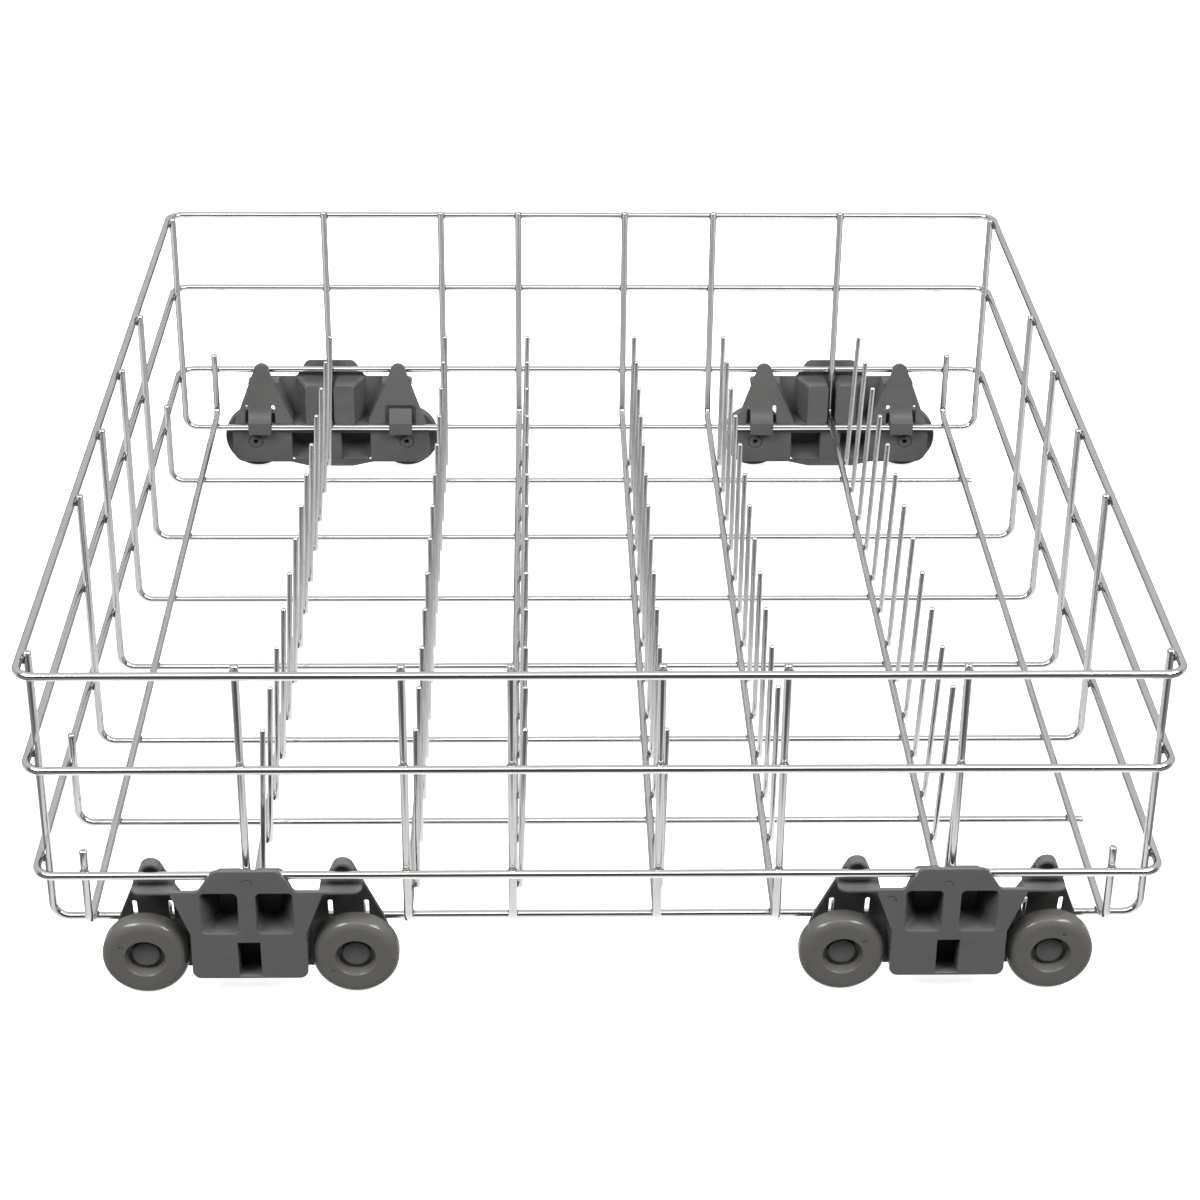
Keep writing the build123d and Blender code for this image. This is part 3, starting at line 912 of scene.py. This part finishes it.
class RACK_OT_wheels(bpy.types.Operator):
    """Turn the wheels and mark each with its gate pip"""
    bl_idname = "rack.wheels"
    bl_label = "Wheels"

    def execute(self, context):
        sizes = context.scene.rack_moulds
        for wall, side, end in WHEELS:
            node = f"{wall}_{side}_{end}_wheel"
            outward = outward_of(wall)
            piece = self.wheel(node, outward, sizes)
            angle = math.radians(PIPS.get((wall, side, end), PLAIN_PIP))
            carve(piece, self.pip(node, outward, angle, sizes))
            flatten(piece)
            seat(piece, bpy.data.materials["moulded_wheel"], "wheel_plastic", node, node)
        return {"FINISHED"}

    def wheel(self, node, outward, sizes):
        low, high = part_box(node)
        middle = (low + high) / 2
        middle.y = high.y if outward < 0 else low.y
        width = high.y - low.y
        radius = (high.z - low.z) / 2
        bore = sizes.axle + sizes.axle_room
        web = width - sizes.hub_depth
        boss = sizes.hub_boss_length
        profile = [(bore, 0), (sizes.hub_boss, 0), (sizes.hub_boss, boss), (radius, boss), (radius, width),
                   (sizes.hub_mouth, width), (sizes.hub_floor, web), (bore, web)]
        rims = ((radius, width, sizes.tread_round, 8),
                (radius, boss, sizes.tread_back_round, 4),
                (sizes.hub_mouth, width, sizes.mouth_round, 4),
                (sizes.hub_floor, web, sizes.floor_round, 3),
                (sizes.hub_boss, 0, sizes.boss_end_round, 2),
                (sizes.hub_boss, boss, sizes.boss_foot_round, 3))
        piece = turned(f"{node}_moulding", middle, outward, profile, sizes.round_steps, closed=True)
        for rim, distance, rounding, segments in rims:
            round_rim(piece, middle, outward, rim, distance, rounding, segments)
        return leave(piece)

    def pip(self, node, outward, angle, sizes):
        """A cutter for the gate mark: a tiny round hollow with a nub left in its middle."""
        low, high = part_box(node)
        face = low.y if outward < 0 else high.y
        middle = (low + high) / 2
        spot = Vector((middle.x, face, middle.z))
        spot += Vector((math.cos(angle), 0, math.sin(angle))) * sizes.pip_place
        size = sizes.pip_radius
        profile = [(1.15 * size, sizes.pip_lift), (size, -sizes.pip_depth),
                   (0.55 * size, -sizes.pip_depth), (0.35 * size, -sizes.pip_nub)]
        piece = turned(f"{node}_pip", spot, outward, profile, sizes.pip_steps, closed=False)
        return leave(piece)


class RACK_OT_axle_pins(bpy.types.Operator):
    """Turn the headed axle pins"""
    bl_idname = "rack.axle_pins"
    bl_label = "Axle pins"

    def execute(self, context):
        sizes = context.scene.rack_moulds
        for wall, side, end in WHEELS:
            node = f"{wall}_{side}_{end}_axle_pin"
            outward = outward_of(wall)
            low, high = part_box(node)
            middle = (low + high) / 2
            middle.y = high.y if outward < 0 else low.y
            reach = high.y - low.y
            neck = reach - sizes.pin_head_thick
            profile = [(sizes.pin_hollow, sizes.pin_hollow_depth), (sizes.pin_hollow, 0),
                       (sizes.pin_collar, 0), (sizes.pin_collar, sizes.pin_collar_thick),
                       (sizes.axle, sizes.pin_collar_thick), (sizes.axle, neck),
                       (sizes.pin_head, neck), (sizes.pin_head, reach)]
            rims = ((sizes.pin_head, reach, sizes.pin_head_round),
                    (sizes.pin_head, neck, sizes.pin_neck_round),
                    (sizes.pin_collar, 0, sizes.pin_collar_round))
            piece = turned(f"{node}_moulding", middle, outward, profile, sizes.pin_steps, closed=False)
            for rim, distance, rounding in rims:
                round_rim(piece, middle, outward, rim, distance, rounding, 3)
            seat(leave(piece), bpy.data.materials["moulded_pin"], "pin_plastic", BASKET, node)
        return {"FINISHED"}


class RACK_OT_finishes(bpy.types.Operator):
    """Mix the finishes"""
    bl_idname = "rack.finishes"
    bl_label = "Finishes"

    def execute(self, context):
        finishes = context.scene.rack_finishes
        drawn_steel(finishes)
        weld_scale(finishes)
        for name, gloss, tooling in PLASTICS:
            moulded_plastic(f"moulded_{name}", tuple(getattr(finishes, name)), gloss, tooling)
        return {"FINISHED"}


class RACK_OT_stage(bpy.types.Operator):
    """Lay the floor, hang the lights and set the camera"""
    bl_idname = "rack.stage"
    bl_label = "Stage"

    def execute(self, context):
        self.floor()
        self.sky(context.scene)
        for lamp in LAMPS:
            self.lamp(*lamp)
        self.camera(context.scene)
        context.scene.view_settings.view_transform = "Standard"
        context.scene.cycles.sample_clamp_indirect = BRIGHTEST_BOUNCE
        return {"FINISHED"}

    def floor(self):
        """Lays a board white to the camera; to the steel it shows soft grey fields of painted light, with
        painted shade under the rack.
        """
        clear_selection()
        bpy.ops.mesh.primitive_plane_add(size=FLOOR_SPAN, location=(0, 0, FLOOR_LEVEL))
        board = bpy.context.object
        board.name = "floor"
        finish = Finish.material("floor_board")
        across = abs(finish.node("ShaderNodeSeparateXYZ", {}, {0: finish.place()}, out=0))
        along = abs(finish.node("ShaderNodeSeparateXYZ", {}, {0: finish.place()}, out=1))
        under = (1 - across.over(*UNDER_ACROSS)) * (1 - along.over(*UNDER_ALONG))
        near = (1 - across.over(*NEAR_ACROSS)) * (1 - along.over(*NEAR_ALONG))
        beside = across.over(*NEAR_ACROSS) * (1 - along.over(*BESIDE_ALONG))
        around = across.over(*AROUND_ACROSS)
        view = finish.node("ShaderNodeNewGeometry", out="Incoming")
        steep = abs(finish.node("ShaderNodeSeparateXYZ", {}, {0: view}, out=2))
        rays = finish.node("ShaderNodeLightPath", out="Is Camera Ray")
        mirror = finish.node("ShaderNodeLightPath", out="Is Glossy Ray")
        pale = finish.node("ShaderNodeBsdfDiffuse", {}, {"Color": (0.8, 0.8, 0.8, 1)})
        dim = finish.node("ShaderNodeBsdfDiffuse", {}, {"Color": (0.08, 0.08, 0.08, 1)})
        seen = finish.node("ShaderNodeEmission", {}, {"Color": (1, 1, 1, 1), "Strength": 0.86})
        shaded = finish.node("ShaderNodeAddShader", {}, {0: pale, 1: seen})
        # Painted shade under the rack, deepest at shallow glances, and a painted reflection of lit floor
        # that dims towards grazing
        shade = under * (0.3 - steep.over(0.3, 0.6) * 0.5)
        painted_floor_glow = near * (steep * 0.95 + 0.22) - shade + beside * 0.55 + around * 0.15 + 0.1
        painted_reflection = finish.node("ShaderNodeEmission", {}, {"Strength": painted_floor_glow})
        unseen = finish.node("ShaderNodeMixShader", {}, {0: mirror, 1: dim, 2: painted_reflection})
        board.data.materials.append(finish.surface(
            finish.node("ShaderNodeMixShader", {}, {0: rays, 1: unseen, 2: shaded})))

    def sky(self, scene):
        """Sets a dome that is white to the camera, bright behind the rack and dark before it."""
        scene.world = bpy.data.worlds.new("studio")
        scene.world.use_nodes = True
        finish = Finish(scene.world.node_tree)
        way = finish.node("ShaderNodeTexCoord", out="Generated")
        depth = finish.node("ShaderNodeSeparateXYZ", {}, {0: way}, out=1)
        rise = finish.node("ShaderNodeSeparateXYZ", {}, {0: way}, out=2)
        behind = finish.node("ShaderNodeValToRGB", {"stops": DOME_BEHIND}, {0: rise})
        before = finish.node("ShaderNodeValToRGB", {"stops": DOME_BEFORE}, {0: rise})
        dome = finish.mix(depth.over(-0.4, 0.4), before, behind)
        rays = finish.node("ShaderNodeLightPath", out="Is Camera Ray")
        white = finish.node("ShaderNodeBackground", {}, {"Color": (1, 1, 1, 1), "Strength": 1.0})
        mirror = finish.node("ShaderNodeLightPath", out="Is Glossy Ray")
        strength = mirror * (1 - SKY_SHARE) + SKY_SHARE
        studio = finish.node("ShaderNodeBackground", {}, {"Color": dome, "Strength": strength})
        shown = finish.node("ShaderNodeMixShader", {}, {0: rays, 1: studio, 2: white})
        finish.node("ShaderNodeOutputWorld", {}, {"Surface": shown})

    def lamp(self, name, place, size, power, mirrored):
        """Hangs a wide lamp that faces the rack; the steel mirrors it or not."""
        clear_selection()
        aim = (-Vector(place)).to_track_quat("-Z", "Y").to_euler()
        bpy.ops.object.light_add(type="AREA", location=place, rotation=aim)
        lamp = bpy.context.object
        lamp.name = name
        lamp.data.shape = "RECTANGLE"
        lamp.data.size, lamp.data.size_y = size
        lamp.data.energy = power
        lamp.visible_glossy = mirrored

    def camera(self, scene):
        pitch, yaw, roll = (math.radians(angle) for angle in CAMERA_TURN)
        flat = math.cos(pitch)
        ahead = Vector((math.sin(yaw) * flat, math.cos(yaw) * flat, -math.sin(pitch)))
        level = Vector((math.cos(yaw), -math.sin(yaw), 0))
        above = level.cross(ahead)
        right = math.cos(roll) * level + math.sin(roll) * above
        up = math.cos(roll) * above - math.sin(roll) * level
        turn = Matrix((right, up, -ahead)).transposed().to_4x4()
        clear_selection()
        bpy.ops.object.camera_add()
        camera = bpy.context.object
        camera.name = "photo_camera"
        camera.matrix_world = Matrix.Translation(CAMERA_PLACE) @ turn
        camera.data.sensor_width = CAMERA_SENSOR
        camera.data.lens = CAMERA_LENS
        scene.camera = camera


class RACK_PT_sidebar(bpy.types.Panel):
    """Lists the steps that dress the rack"""
    bl_idname = "RACK_PT_sidebar"
    bl_label = "Lower Dishwasher Rack"
    bl_space_type = "VIEW_3D"
    bl_region_type = "UI"
    bl_category = "Rack"

    def draw(self, context):
        for step in STEPS:
            self.layout.operator(step.bl_idname)
        for group in (context.scene.rack_wires, context.scene.rack_moulds, context.scene.rack_finishes):
            for key in group.__annotations__:
                self.layout.prop(group, key)


STEPS = (RACK_OT_finishes, RACK_OT_rings, RACK_OT_floor_wires, RACK_OT_tines, RACK_OT_welds,
         RACK_OT_carriers, RACK_OT_wheels, RACK_OT_axle_pins, RACK_OT_stage)
CLASSES = (RackWireSizes, RackMouldSizes, RackFinishes) + STEPS + (RACK_PT_sidebar,)


def register():
    for each in CLASSES:
        bpy.utils.register_class(each)
    bpy.types.Scene.rack_wires = PointerProperty(type=RackWireSizes)
    bpy.types.Scene.rack_moulds = PointerProperty(type=RackMouldSizes)
    bpy.types.Scene.rack_finishes = PointerProperty(type=RackFinishes)


def unregister():
    del bpy.types.Scene.rack_finishes
    del bpy.types.Scene.rack_moulds
    del bpy.types.Scene.rack_wires
    for each in reversed(CLASSES):
        bpy.utils.unregister_class(each)


def main():
    register()
    bpy.ops.rack.finishes()
    bpy.ops.rack.rings()
    bpy.ops.rack.floor_wires()
    bpy.ops.rack.tines()
    bpy.ops.rack.welds()
    bpy.ops.rack.carriers()
    bpy.ops.rack.wheels()
    bpy.ops.rack.axle_pins()
    bpy.ops.rack.stage()


if __name__ == "__main__":
    main()
